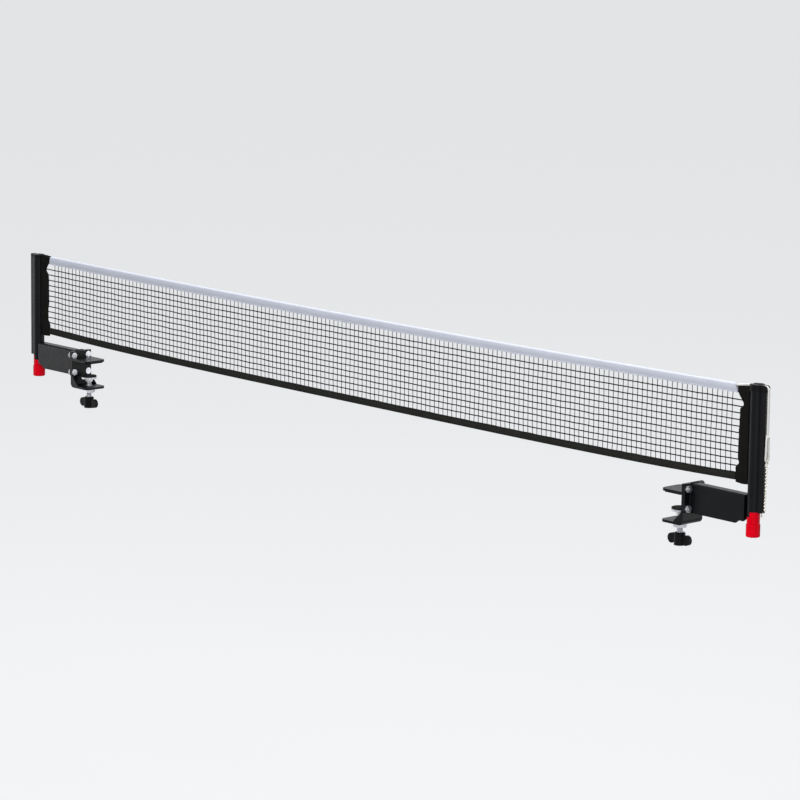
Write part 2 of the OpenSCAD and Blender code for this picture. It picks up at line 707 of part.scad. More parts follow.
// Route of the cord from its left knot over both caps and down to the right knot
cord_path = concat(
    [[-axis_x, 0, left_knot_z], [-axis_x, 0, left_c.y - 1]],
    [for (a = [172.5:-15:97.5]) [left_c.x + left_bend_r * cos(a), 0, left_c.y + left_bend_r * sin(a)]],
    [[left_c.x + 1, 0, left_cord_z], [-over_cap, 0, left_cord_z]],
    [for (k = [0:stations]) let (x = tape_end * (2 * k / stations - 1)) [x, 0, cord_z(x)]],
    [[over_cap, 0, cord_top_z], [bend_c.x - 1, 0, cord_top_z]],
    [for (a = [82.5:-15:7.5]) [bend_c.x + bend_r * cos(a), 0, bend_c.y + bend_r * sin(a)]],
    [[loop_x, 0, bend_c.y - 1], [loop_x, 0, knot_z + 5]]
);

// Route of the loop below the right knot, round the connector's eye
strand_y = cord_r + 0.2;
loop_path = concat(
    [[loop_x, 0, knot_z + 2.5], [loop_x, strand_y, knot_z - 2.5], [loop_x, strand_y, knot_z - loop_len / 2]],
    [for (a = [0:-22.5:-180]) [loop_x, eye_r * cos(a), eye_z + eye_r + eye_r * sin(a)]],
    [[loop_x, -strand_y, knot_z - loop_len / 2], [loop_x, -strand_y, knot_z - 2.5]]
);

module net_cord() color("#f0f0ee") {
    loft(concat(tube_rings(cord_path, cord_r, [0, 1, 0], 0), tube_rings(loop_path, cord_r, [1, 0, 0], -90)));
    translate([loop_x, 0, knot_z]) knot();
    translate([-axis_x, 0, left_knot_z]) knot();
}

// A tight knot: two bulges with a waist
module knot() rotate_extrude() intersection() {
    for (s = [-1, 1]) translate([0, s * knot_h / 5]) circle(knot_r - 0.2);
    translate([0, -knot_h / 2]) square([knot_r, knot_h]);
}

module chain_connector() color("#c9ccd0") translate(chain_at(balls_out - 1)) rotate([0, chain_tilt, 0]) {
    difference() {
        translate([0, 0, -bell_h / 2]) cylinder(r = bell_r, h = bell_h);
        sphere(ball_d / 2 + 0.15);
        translate([0, 0, -bell_h]) cylinder(r = link_r + 0.3, h = bell_h, $fn = 24);
    }
    translate([0, 0, bell_h / 2 - 0.3]) cylinder(r = 1, h = eye_rise - eye_r - bell_h / 2 + 0.6, $fn = 24);
    translate([0, 0, eye_rise]) rotate([90, 0, 0]) rotate_extrude() translate([eye_r, 0]) circle(eye_wire, $fn = 24);
}

module ball_chain() color("#d5d8dc") {
    for (p = chain_points) translate(p) sphere(ball_d / 2);
    for (i = [0:len(chain_points) - 2])
        let (a = chain_points[i], b = chain_points[i + 1], d = b - a)
            translate(a) rotate([0, atan2(d.x, d.z), 0]) cylinder(r = link_r, h = norm(d), $fn = 24);
}

// ---------- nodes ----------

post_tube(post_top);  // post_tube_right
left_side() post_tube(post_top - left_drop);  // post_tube_left
post_cap_right();
post_cap_left();
end_plug();  // end_plug_right
left_side() end_plug();  // end_plug_left
net_hooks();  // net_hooks_right
left_side() net_hooks();  // net_hooks_left
height_knob();  // height_knob_right
left_side() height_knob();  // height_knob_left
height_spindle();  // height_spindle_right
left_side() height_spindle();  // height_spindle_left
knob_screw();  // knob_screw_right
left_side() knob_screw();  // knob_screw_left
guide_nut();  // guide_nut_right
left_side() guide_nut();  // guide_nut_left
arm_tongue();  // arm_tongue_right
left_side() arm_tongue();  // arm_tongue_left
arm_channel();  // arm_channel_right
left_side() arm_channel();  // arm_channel_left
arm_flange();  // arm_flange_right
left_side() arm_flange();  // arm_flange_left
arm_bolts();  // arm_bolts_right
left_side() arm_bolts();  // arm_bolts_left
arm_nuts();  // arm_nuts_right
left_side() arm_nuts();  // arm_nuts_left
clamp_bracket();  // clamp_bracket_right
left_side() clamp_bracket();  // clamp_bracket_left
upper_jaw_pad();  // upper_jaw_pad_right
left_side() upper_jaw_pad();  // upper_jaw_pad_left
screw_bush();  // screw_bush_right
left_side() screw_bush();  // screw_bush_left
clamp_screw();  // clamp_screw_right
left_side() clamp_screw();  // clamp_screw_left
wing_knob();  // wing_knob_right
left_side() wing_knob();  // wing_knob_left
swivel_shoe();  // swivel_shoe_right
left_side() swivel_shoe();  // swivel_shoe_left
shoe_pad();  // shoe_pad_right
left_side() shoe_pad();  // shoe_pad_left
net_mesh();
top_tape();
foot_tape();
side_hem(right_cord, post_top - cap_skirt - seat);  // side_hem_right
left_side() side_hem(left_cord, hem_top(hem_out, left_cord));  // side_hem_left
net_cord();
chain_connector();
ball_chain();
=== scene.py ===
"""Table tennis net on two clamp posts: the visible model over the CAD frame.

All sizes are in metres, in the frame of the CAD: +X along the net, +Z up, the net in the XZ plane.
Every new piece is a grid of points worked out with numpy, and joined to one mesh by Piece.
"""

import json
import math

import bpy
import numpy as np
from mathutils import Matrix, Vector


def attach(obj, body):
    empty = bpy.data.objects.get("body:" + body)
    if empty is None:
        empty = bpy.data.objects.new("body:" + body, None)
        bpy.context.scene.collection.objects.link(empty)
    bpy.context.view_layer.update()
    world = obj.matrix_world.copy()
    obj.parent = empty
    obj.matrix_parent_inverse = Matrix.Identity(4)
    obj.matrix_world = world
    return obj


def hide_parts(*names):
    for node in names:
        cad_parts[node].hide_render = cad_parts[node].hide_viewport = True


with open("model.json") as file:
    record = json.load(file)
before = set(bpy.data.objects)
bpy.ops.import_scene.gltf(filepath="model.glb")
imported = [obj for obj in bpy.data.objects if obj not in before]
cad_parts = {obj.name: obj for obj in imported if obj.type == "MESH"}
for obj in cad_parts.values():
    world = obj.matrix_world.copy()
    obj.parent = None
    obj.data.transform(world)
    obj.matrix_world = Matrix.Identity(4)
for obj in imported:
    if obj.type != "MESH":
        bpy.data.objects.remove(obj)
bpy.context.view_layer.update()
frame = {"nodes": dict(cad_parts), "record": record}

MM = 0.001
SIDES = (("right", 1.0), ("left", -1.0))
ROOT = "net_frame"

# Sizes that the CAD part has too. First the posts' axes and the clamping screws' axes
AXIS_X = 895.0 * MM
SCREW_X = 744.0 * MM
# The net: half its length, its upper and lower edges, and how high its two tapes are
TAPE_END = 856.4 * MM
NET_TOP_RIGHT, NET_TOP_LEFT, NET_TOP_MID = 158.0 * MM, 154.5 * MM, 151.0 * MM
NET_FOOT_END, NET_FOOT_MID = 9.0 * MM, 1.5 * MM
TAPE_H = 15.0 * MM
FOOT_TAPE_H = 12.0 * MM
# The hems: their edges, how much further out the left one starts, the hooks that they hang on,
# and the skirt of the cap above them
HEM_IN, HEM_OUT = 856.7 * MM, 884.7 * MM
LEFT_INSET = 3.5 * MM
HEM_FOOT = 7.0 * MM
HOOK_Z = (36.0 * MM, 127.0 * MM)
SKIRT_X, SKIRT_Z = 883.1 * MM, 151.5 * MM
# The cord: its height over each cap, its place outside the right post, its bends, its knots, and
# the eye that its loop goes round
CORD_R = 1.9 * MM
CORD_Z = {"right": 159.7 * MM, "left": 152.7 * MM}
CORD_X = 918.9 * MM
SHOULDER_R = 6.0 * MM
LEFT_BEND_R = 4.0 * MM
KNOT_Z = {"right": 82.9 * MM, "left": 137.0 * MM}
EYE_Z, EYE_R = 46.88 * MM, 2.9 * MM

# Sizes of the new pieces
GAPS_ALONG, GAPS_UP = 163, 12
STITCH_PITCH = 4.2 * MM
FINE_STEP = 0.5 * MM

# The main view, in a frame FRAME_PX wide
FRAME_PX, FOCAL_PX, SENSOR = 800.0, 3745.0, 36.0
VIEW_FROM = (4.620, -4.130, 1.138)
HEADING, PITCH, ROLL = 137.58, 10.32, 0.75

# The floor, as far below the playing surface as a table's feet are
FLOOR_Z, FLOOR_HALF = -0.76, 60.0

rng = np.random.default_rng(20)


# ---------------------------------------------------------------- camera and stage

def camera():
    """The main view: its place, heading, downward pitch and roll, in degrees. Its direction is
    (cos pitch cos heading, cos pitch sin heading, -sin pitch), and roll turns it about that."""
    az, pitch, roll = (math.radians(v) for v in (HEADING, PITCH, ROLL))
    flat = math.cos(pitch)
    forward = Vector((flat * math.cos(az), flat * math.sin(az), -math.sin(pitch)))
    level = forward.cross(Vector((0, 0, 1))).normalized()
    above = level.cross(forward)
    right = math.cos(roll) * level + math.sin(roll) * above
    up = math.cos(roll) * above - math.sin(roll) * level
    data = bpy.data.cameras.new("camera")
    data.sensor_fit = "HORIZONTAL"
    data.sensor_width = SENSOR
    data.lens = FOCAL_PX / FRAME_PX * SENSOR
    data.clip_start, data.clip_end = 0.05, 200.0
    obj = bpy.data.objects.new("camera", data)
    turn = Matrix((right, up, -forward)).transposed().to_4x4()
    obj.matrix_world = Matrix.Translation(VIEW_FROM) @ turn
    bpy.context.scene.collection.objects.link(obj)
    bpy.context.scene.camera = obj


def area_light(name, place, target, size, power, mirrored_only=False):
    """A rectangular lamp at place, facing target. With mirrored_only it lights no matt surface."""
    data = bpy.data.lights.new(name, "AREA")
    data.shape = "RECTANGLE"
    data.size, data.size_y = size
    data.energy = power
    obj = bpy.data.objects.new(name, data)
    way = Vector(target) - Vector(place)
    turn = way.to_track_quat("-Z", "Y").to_matrix().to_4x4()
    obj.matrix_world = Matrix.Translation(place) @ turn
    obj.visible_diffuse = not mirrored_only
    bpy.context.scene.collection.objects.link(obj)


def if_seen(tree, socket, lighting, seen):
    """Gives the socket one value for rays that light the object, and another for those that show
    the stage itself: straight to the camera, mirrored, or through clear stuff."""
    path = tree.nodes.new("ShaderNodeLightPath")
    shown = path.outputs["Is Camera Ray"]
    for name in ("Is Glossy Ray", "Is Transmission Ray"):
        either = tree.nodes.new("ShaderNodeMath")
        either.operation = "MAXIMUM"
        tree.links.new(shown, either.inputs[0])
        tree.links.new(path.outputs[name], either.inputs[1])
        shown = either.outputs[0]
    pick = tree.nodes.new("ShaderNodeMapRange")
    pick.inputs["To Min"].default_value, pick.inputs["To Max"].default_value = lighting, seen
    tree.links.new(shown, pick.inputs["Value"])
    tree.links.new(pick.outputs["Result"], socket)


def stage():
    """Plain studio light, a pale world, and a pale floor that is left out of the object."""
    scene = bpy.context.scene
    scene.view_settings.view_transform = "Standard"
    world = bpy.data.worlds.new("studio")
    scene.world = world
    world.use_nodes = True
    tree = world.node_tree
    background = tree.nodes["Background"]
    background.inputs["Color"].default_value = (0.95, 0.97, 1.0, 1)
    if_seen(tree, background.inputs["Strength"], 0.4, 0.95)
    area_light("overhead", (0.3, 0.2, 4.2), (0.2, 0.0, 0.0), (4.5, 3.0), 140)
    area_light("front", (2.4, -4.4, 2.8), (0.2, 0.0, 0.05), (2.6, 1.8), 150)
    # Low cards, which the upright steel faces mirror
    area_light("right card", (3.3, 2.5, -0.1), (0.9, 0.0, -0.1), (1.4, 2.0), 42, True)
    area_light("near card", (4.2, -2.5, 0.0), (0.9, 0.0, 0.0), (2.2, 2.0), 26, True)
    area_light("left card", (-3.7, -2.1, 0.0), (-0.9, 0.0, 0.0), (1.2, 2.0), 28, True)
    mesh = bpy.data.meshes.new("floor")
    turns = ((-1, -1), (1, -1), (1, 1), (-1, 1))
    corners = [(x * FLOOR_HALF, y * FLOOR_HALF, FLOOR_Z) for x, y in turns]
    mesh.from_pydata(corners, [], [(0, 1, 2, 3)])
    floor = bpy.data.objects.new("floor", mesh)
    scene.collection.objects.link(floor)
    mat = bpy.data.materials.new("floor")
    mat.use_nodes = True
    tree = mat.node_tree
    shader = tree.nodes["Principled BSDF"]
    shader.inputs["Base Color"].default_value = (0.24, 0.243, 0.247, 1)
    shader.inputs["Roughness"].default_value = 0.9
    shader.inputs["Specular IOR Level"].default_value = 0.1
    shader.inputs["Emission Color"].default_value = (0.97, 0.985, 1, 1)
    if_seen(tree, shader.inputs["Emission Strength"], 0.0, 0.66)
    mesh.materials.append(mat)


# ---------------------------------------------------------------- materials

class Nodes:
    """A short way to write a material's node tree."""

    def __init__(self, name):
        self.mat = bpy.data.materials.new(name)
        self.mat.use_nodes = True
        self.tree = self.mat.node_tree
        self.shader = self.tree.nodes["Principled BSDF"]
        self.coord = self.add("ShaderNodeTexCoord").outputs["Object"]

    def add(self, kind, props=None, **inputs):
        node = self.tree.nodes.new(kind)
        for key, value in (props or {}).items():
            setattr(node, key, value)
        for key, value in inputs.items():
            self.put(node.inputs[key.replace("_", " ")], value)
        return node

    def put(self, socket, value):
        if isinstance(value, bpy.types.NodeSocket):
            self.tree.links.new(value, socket)
        else:
            socket.default_value = value

    def noise(self, scale, detail=3.0, rough=0.55, vector=None):
        """Cloudy noise, 0..1."""
        return self.add(
            "ShaderNodeTexNoise",
            Vector=vector or self.coord, Scale=scale, Detail=detail, Roughness=rough,
        ).outputs["Fac"]

    def wave(self, scale, direction, vector):
        """Even sine bands across a direction, 0..1."""
        kind = {"bands_direction": direction, "wave_type": "BANDS", "wave_profile": "SIN"}
        return self.add("ShaderNodeTexWave", kind, Vector=vector, Scale=scale).outputs["Fac"]

    def span(self, value, low, high, start=0.0, end=1.0):
        """Maps start..end to low..high."""
        limits = {"From_Min": start, "From_Max": end, "To_Min": low, "To_Max": high}
        return self.add("ShaderNodeMapRange", Value=value, **limits).outputs["Result"]

    def math(self, operation, a, b):
        node = self.add("ShaderNodeMath", {"operation": operation})
        self.put(node.inputs[0], a)
        self.put(node.inputs[1], b)
        return node.outputs[0]

    def blend(self, factor, a, b):
        """A colour from a to b. A colour Mix takes them on sockets 6 and 7, and answers on 2."""
        node = self.add("ShaderNodeMix", {"data_type": "RGBA"})
        self.put(node.inputs[0], factor)
        self.put(node.inputs[6], (*a, 1) if isinstance(a, tuple) else a)
        self.put(node.inputs[7], (*b, 1) if isinstance(b, tuple) else b)
        return node.outputs[2]

    def bump(self, height, distance, strength):
        node = self.add("ShaderNodeBump", Height=height, Distance=distance, Strength=strength)
        self.put(self.shader.inputs["Normal"], node.outputs["Normal"])

    def set(self, **values):
        """Gives the shader's own sockets their values, and returns the material."""
        for key, value in values.items():
            name = key.replace("_", " ")
            self.put(self.shader.inputs[name], (*value, 1) if isinstance(value, tuple) else value)
        return self.mat


def powder_coat(name, dark, light, rough=0.33):
    """Black powder coat: a fine orange-peel surface with faint cloudy wear."""
    n = Nodes(name)
    cloud = n.noise(22.0, 4.0)
    peel = n.noise(1100.0, 2.0)
    scuff = n.noise(160.0, 6.0, 0.7)
    grain = n.math("ADD", n.math("MULTIPLY", peel, 0.7), n.math("MULTIPLY", scuff, 0.3))
    n.bump(grain, 0.00012, 0.5)
    return n.set(
        Base_Color=n.blend(n.span(cloud, 0.0, 1.0, 0.35, 0.7), dark, light),
        Roughness=n.span(scuff, rough - 0.07, rough + 0.07, 0.3, 0.7),
        Specular_IOR_Level=0.11,
    )


def moulded(name, base, deep, rough, grain=700.0, depth=0.00006, level=0.3):
    """Moulded plastic: fine grain, with a faint variation of tone and gloss."""
    n = Nodes(name)
    tone = n.noise(60.0, 3.0)
    fine = n.noise(grain, 2.0)
    n.bump(fine, depth, 0.6)
    return n.set(
        Base_Color=n.blend(n.span(tone, 0.0, 1.0, 0.35, 0.65), deep, base),
        Roughness=n.span(fine, rough - 0.05, rough + 0.06, 0.3, 0.7),
        Specular_IOR_Level=level,
    )


def plated(name, base, stain, rough, streak=900.0):
    """Plated metal: short brushed streaks and cloudy stains."""
    n = Nodes(name)
    stretched = n.add("ShaderNodeMapping", Vector=n.coord, Scale=(1.0, 1.0, 0.12)).outputs["Vector"]
    streaks = n.noise(streak, 3.0, 0.6, stretched)
    cloud = n.noise(70.0, 4.0)
    n.bump(streaks, 0.00003, 0.4)
    return n.set(
        Base_Color=n.blend(n.span(cloud, 0.0, 1.0, 0.4, 0.75), base, stain),
        Roughness=n.span(streaks, rough - 0.06, rough + 0.1, 0.3, 0.7),
        Metallic=1.0,
    )


def woven(name, base, deep, pitch, depth, rough=0.85, sheen=0.05, tilt=0.0, fuzz=0.3):
    """Plain weave in the XZ plane, with threads pitch apart: max(warp, weft) - warp weft / 2, where
    both are sine bands. tilt turns it about Y, and fuzz is the share of loose fibre in the bump."""
    n = Nodes(name)
    vector = n.coord
    if tilt:
        turned = n.add("ShaderNodeMapping", Vector=n.coord, Rotation=(0.0, tilt, 0.0))
        vector = turned.outputs["Vector"]
    # Blender's sine bands repeat every 2 pi / (20 * scale)
    scale = math.pi / (10.0 * pitch)
    warp, weft = n.wave(scale, "X", vector), n.wave(scale, "Z", vector)
    over, both = n.math("MAXIMUM", warp, weft), n.math("MULTIPLY", warp, weft)
    threads = n.math("SUBTRACT", over, n.math("MULTIPLY", both, 0.5))
    fibre = n.noise(2600.0, 3.0)
    cloud = n.noise(35.0, 4.0)
    height = n.math("ADD", n.math("MULTIPLY", threads, 1.0 - fuzz), n.math("MULTIPLY", fibre, fuzz))
    n.bump(height, depth, 0.7)
    # The colour darkens between the threads, in the weave's hollows. That part is painted shade,
    # and it is multiplied by a cloudy random tone.
    hollow_shade_and_tone = n.math("MULTIPLY", n.span(threads, 0.55, 1.0), n.span(cloud, 0.75, 1.0, 0.3, 0.7))
    return n.set(
        Base_Color=n.blend(hollow_shade_and_tone, deep, base), Roughness=n.span(fibre, rough - 0.05, rough + 0.08),
        Sheen_Weight=sheen, Sheen_Roughness=0.5, Specular_IOR_Level=0.05,
    )


def rubber(name, base):
    """Moulded rubber: matt and dusty."""
    n = Nodes(name)
    fine, cloud = n.noise(1500.0, 3.0), n.noise(60.0, 4.0)
    dust = n.span(cloud, 0.0, 1.0, 0.45, 0.8)
    n.bump(fine, 0.0001, 0.6)
    return n.set(
        Base_Color=n.blend(dust, base, tuple(2.2 * v for v in base)),
        Roughness=n.span(fine, 0.7, 0.88),
        Specular_IOR_Level=0.1,
    )


def make_materials():
    """One finish for each of the record's material slots, and four more for cloth and thread."""
    return {
        "black_steel": powder_coat("black_steel", (0.0035, 0.004, 0.005), (0.006, 0.0065, 0.008)),
        "black_plastic": moulded(
            "black_plastic", (0.007, 0.007, 0.008), (0.004, 0.004, 0.0045), 0.4, level=0.07),
        "red_plastic": moulded(
            "red_plastic", (0.95, 0.001, 0.016), (0.84, 0.0, 0.011), 0.34,
            grain=500.0, depth=0.00003, level=0.05),
        "zinc_steel": plated("zinc_steel", (0.52, 0.53, 0.56), (0.40, 0.40, 0.41), 0.4),
        "rubber": rubber("rubber", (0.010, 0.010, 0.010)),
        "net_black": woven(
            "net_black", (0.008, 0.008, 0.009), (0.003, 0.003, 0.0035),
            pitch=0.0009, depth=0.0002, sheen=0.0),
        "foot_black": woven(
            "foot_black", (0.034, 0.034, 0.031), (0.004, 0.004, 0.004),
            pitch=0.0016, depth=0.0004, rough=0.9, sheen=0.0),
        "hem_black": woven(
            "hem_black", (0.013, 0.012, 0.011), (0.003, 0.003, 0.003),
            pitch=0.0014, depth=0.0004, rough=0.9, sheen=0.0, tilt=0.78),
        # The tape's white has a blue tint in both its colours. That tint is painted bounce light,
        # as from a blue table top below a plain white cloth.
        "tape_white": woven(
            "tape_white", (0.79, 0.82, 0.93), (0.68, 0.71, 0.81),
            pitch=0.0008, depth=0.00015, rough=0.8, sheen=0.03, fuzz=0.2),
        "cord_white": woven(
            "cord_white", (0.92, 0.91, 0.87), (0.70, 0.69, 0.66),
            pitch=0.0007, depth=0.00015, rough=0.75, tilt=0.6, fuzz=0.4),
        "chain_nickel": plated(
            "chain_nickel", (0.70, 0.67, 0.60), (0.52, 0.49, 0.43), 0.22, streak=2500.0),
        "thread_white": moulded(
            "thread_white", (0.78, 0.78, 0.84), (0.66, 0.66, 0.72), 0.6, grain=3000.0),
        "thread_black": moulded(
            "thread_black", (0.012, 0.012, 0.012), (0.006, 0.006, 0.006), 0.6, grain=3000.0),
    }


# ---------------------------------------------------------------- mesh code

class Piece:
    """Gathers grids of points, and the faces between them, for one object."""

    def __init__(self):
        self.points, self.faces, self.count = [], [], 0

    def grid(self, points, closed=False):
        """Adds tubes given as points[tube, ring, place in the ring]. Faces join neighbours round
        each ring and from ring to ring. closed joins the last ring to the first, and otherwise
        both of them are capped."""
        points = np.asarray(points, float)
        points = points.reshape((-1,) + points.shape[-3:])
        tubes, rings, sides, _ = points.shape
        steps = rings if closed else rings - 1
        k, i = np.meshgrid(np.arange(steps), np.arange(sides), indexing="ij")
        here, after, beside = k * sides, (k + 1) % rings * sides, (i + 1) % sides
        quads = np.stack([here + i, here + beside, after + beside, after + i], axis=-1)
        quads = quads.reshape(-1, 4)
        starts = (self.count + np.arange(tubes) * rings * sides)[:, None, None]
        self.faces += (quads[None] + starts).reshape(-1, 4).tolist()
        if not closed:
            caps = np.stack([np.arange(sides)[::-1], (rings - 1) * sides + np.arange(sides)])
            self.faces += (caps[None] + starts).reshape(-1, sides).tolist()
        self.points.append(points.reshape(-1, 3))
        self.count += tubes * rings * sides

    def make(self, name, material, body=ROOT, replaces=(), side=1.0, sharp=None):
        """The finished object. side -1 mirrors it to -X and turns its faces back."""
        points = np.concatenate(self.points) * (side, 1.0, 1.0)
        faces = self.faces if side > 0 else [face[::-1] for face in self.faces]
        mesh = bpy.data.meshes.new(name)
        mesh.from_pydata(points.tolist(), [], faces)
        mesh.update()
        mesh.polygons.foreach_set("use_smooth", [True] * len(mesh.polygons))
        mesh.materials.append(MATERIALS[material])
        obj = bpy.data.objects.new(name, mesh)
        bpy.context.scene.collection.objects.link(obj)
        if sharp is not None:
            mesh.set_sharp_from_angle(angle=math.radians(sharp))
        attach(obj, body)
        if replaces:
            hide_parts(*replaces)
        return obj


def sweep(path, radius, sides, helper=(0.0, 1.0, 0.0), relief=None, closed=False):
    """Rings round one path or many: path + r (cos a n + sin a b), where t is the path's direction,
    n is the helper made square to t, and b = t x n. relief(a, run) scales r by the angle and the
    length run so far."""
    path = np.asarray(path, float)
    if closed:
        tangent = np.roll(path, -1, -2) - np.roll(path, 1, -2)
    else:
        tangent = np.gradient(path, axis=-2)
    tangent = tangent / np.linalg.norm(tangent, axis=-1, keepdims=True)
    helper = np.asarray(helper, float)
    normal = helper - tangent * (tangent @ helper)[..., None]
    normal = normal / np.linalg.norm(normal, axis=-1, keepdims=True)
    across = np.cross(tangent, normal)
    angle = np.arange(sides) * 2 * np.pi / sides
    r = np.broadcast_to(np.asarray(radius, float), path.shape[:-1])[..., None]
    if relief is not None:
        steps = np.linalg.norm(np.diff(path, axis=-2), axis=-1)
        run = np.concatenate([[0.0], np.cumsum(steps)])
        r = r * relief(angle[None, :], run[:, None])
    ring = np.cos(angle)[:, None] * normal[..., None, :]
    ring = ring + np.sin(angle)[:, None] * across[..., None, :]
    return path[..., None, :] + r[..., None] * ring


def smooth_noise(seed, knots, span):
    """A smooth random line over 0..span: random heights at even steps, joined by t t (3 - 2 t)."""
    values = np.random.default_rng(seed).normal(size=knots)
    at = np.linspace(0.0, span, knots)

    def line(x):
        x = np.asarray(x, float)
        k = np.clip(np.searchsorted(at, x) - 1, 0, knots - 2)
        t = np.clip((x - at[k]) / (at[k + 1] - at[k]), 0, 1)
        t = t * t * (3 - 2 * t)
        return values[k] * (1 - t) + values[k + 1] * t

    return line


def hump(x, middle, width):
    """exp(-((x - middle) / width)^2)"""
    return np.exp(-(((x - middle) / width) ** 2))


def stitch_paths(x, y, z, half, along, rise):
    """Four points per stitch, at centre + t half along with t = -1, -0.6, 0.6, 1. The outer two lie
    deeper by rise."""
    t = np.array([-1.0, -0.6, 0.6, 1.0])[None, :, None]
    dip = np.array([1.0, 0.0, 0.0, 1.0])[None, :, None]
    centre = np.stack(np.broadcast_arrays(x, y, z), axis=-1)[:, None, :]
    return centre + t * half * np.asarray(along, float) - dip * rise


# ---------------------------------------------------------------- net

def net_top(x):
    """A shallow curve, with its right end higher than its left one: middle + (mean of the ends -
    middle) u^2 + (half their difference) u, where u runs from -1 to 1."""
    u = x / TAPE_END
    mean, tilt = (NET_TOP_RIGHT + NET_TOP_LEFT) / 2, (NET_TOP_RIGHT - NET_TOP_LEFT) / 2
    return NET_TOP_MID + (mean - NET_TOP_MID) * u ** 2 + tilt * u


def net_foot(x):
    """Almost level, and rising to both ends with (x / end)^4."""
    return NET_FOOT_MID + (NET_FOOT_END - NET_FOOT_MID) * (x / TAPE_END) ** 4


def hem_edge(z, sign):
    """How far the hem's inner edge is drawn towards the post at height z: 5 mm times the waist, and
    a notch of up to 2 mm at the lower hook and 7.6 mm at the upper one. sign is the net's side."""
    if sign > 0:
        levels = np.array([28, 36, 60, 100, 135, 148]) * MM
        waist = np.interp(z, levels, [0.0, 1.0, 0.8, 1.15, 1.0, 0.0])
    else:
        levels = np.array([26, 34, 44, 56, 66, 100, 135, 148]) * MM
        waist = np.interp(z, levels, [0.0, 0.7, 1.2, 1.2, 0.75, 0.85, 1.0, 0.0])
    upper = hump(z, HOOK_Z[1], np.where(z > HOOK_Z[1], 9 * MM, 5 * MM))
    return (5.0 * waist + np.maximum(2.0 * hump(z, HOOK_Z[0], 4 * MM), 7.6 * upper)) * MM


def netting():
    """Knotted square netting. Crossing (c, r) is at x0(c), between the foot tape and the white tape
    in GAPS_UP even steps, moved by smooth random lines and a little by chance. Every thread is a
    tube through its crossings, which have a knot each."""
    columns, rows = GAPS_ALONG, GAPS_UP
    level_r, upright_r = 0.95 * MM, 0.58 * MM
    under = 1.5 * MM  # how far the threads run on into the tapes and hems
    lean = smooth_noise(3, 34, 2.0)
    lift = smooth_noise(4, 60, 2.0)
    bow = smooth_noise(5, 40, 2.0)
    x0 = np.linspace(-TAPE_END, TAPE_END, columns + 1)[:, None]
    r = np.arange(rows + 1)[None, :]
    v = r / rows
    free = np.sin(np.pi * v)
    low, high = net_foot(x0) + FOOT_TAPE_H, net_top(x0) - TAPE_H
    slant = 1.1 * lean(x0 + 1.0) * (1 - v) * np.minimum(1, 3 * v)
    grid = np.stack(np.broadcast_arrays(
        x0 + (slant + 0.5 * bow(x0 + 1.0 + 0.2 * v) * free) * MM,
        0.5 * bow(x0 + 1.0) * free * MM,
        low + (high - low) * v + 0.35 * lift(x0 + 1.0 + 0.07 * r) * free * MM,
    ), axis=-1)
    grid = grid + rng.normal(size=grid.shape) * (0.16 * MM, 0.12 * MM, 0.12 * MM)
    # The ends run into the hems, and the edges into the tapes
    for c, sign, inset in ((0, -1.0, LEFT_INSET), (-1, 1.0, 0.0)):
        grid[c, :, 0] = sign * (HEM_IN + inset + hem_edge(grid[c, :, 2], sign) + under)
    grid[:, (0, -1), 1] = 0.0
    grid[:, 0, 2] -= under
    grid[:, -1, 2] += under
    net = Piece()
    net.grid(sweep(grid.transpose(1, 0, 2), level_r, 6))
    net.grid(sweep(grid[1:-1] + (0.0, 0.4 * MM, 0.0), upright_r, 5))
    # Knots: balls of four rings, centre + (1.3 cos e cos a, 1.25 cos e sin a, 1.25 sin e) mm
    rise = np.radians([-55, -18, 18, 55])[:, None]
    turn = (np.arange(6) * np.pi / 3)[None, :]
    ball = np.stack(np.broadcast_arrays(
        1.3 * MM * np.cos(rise) * np.cos(turn),
        1.25 * MM * np.cos(rise) * np.sin(turn),
        1.25 * MM * np.sin(rise),
    ), axis=-1)
    crossings = grid[1:-1, 1:-1].reshape(-1, 3) + (0.0, 0.1 * MM, 0.0)
    net.grid(crossings[:, None, None, :] + ball)
    net.make("netting", "net_black", replaces=["net_mesh"])


def folded_tape(name, material, section, height_at, ripple, slant, node):
    """Carries a folded cloth's closed section along the net: (x, y + sway w, height + z + swell w).
    Its points are (y, z, w), and w is how much of the ripple each takes. The ends are cut on a
    slant, so that the upper edge is shorter by slant."""
    stations = 261
    x = np.linspace(-TAPE_END - LEFT_INSET, TAPE_END, stations)[:, None]
    y, z, w = (column[None, :] for column in np.array(section).T)
    sway, swell = ripple(x)
    near_end = np.clip((np.abs(x) - TAPE_END) / (30 * MM) + 1, 0, 1)
    cut = slant * near_end * np.clip(1 + z / TAPE_H, 0, 1)
    shape = Piece()
    shape.grid(np.stack(np.broadcast_arrays(
        x - np.sign(x) * cut, y + sway * w, height_at(x) + z + swell * w,
    ), axis=-1))
    return shape.make(name, material, replaces=[node], sharp=50)


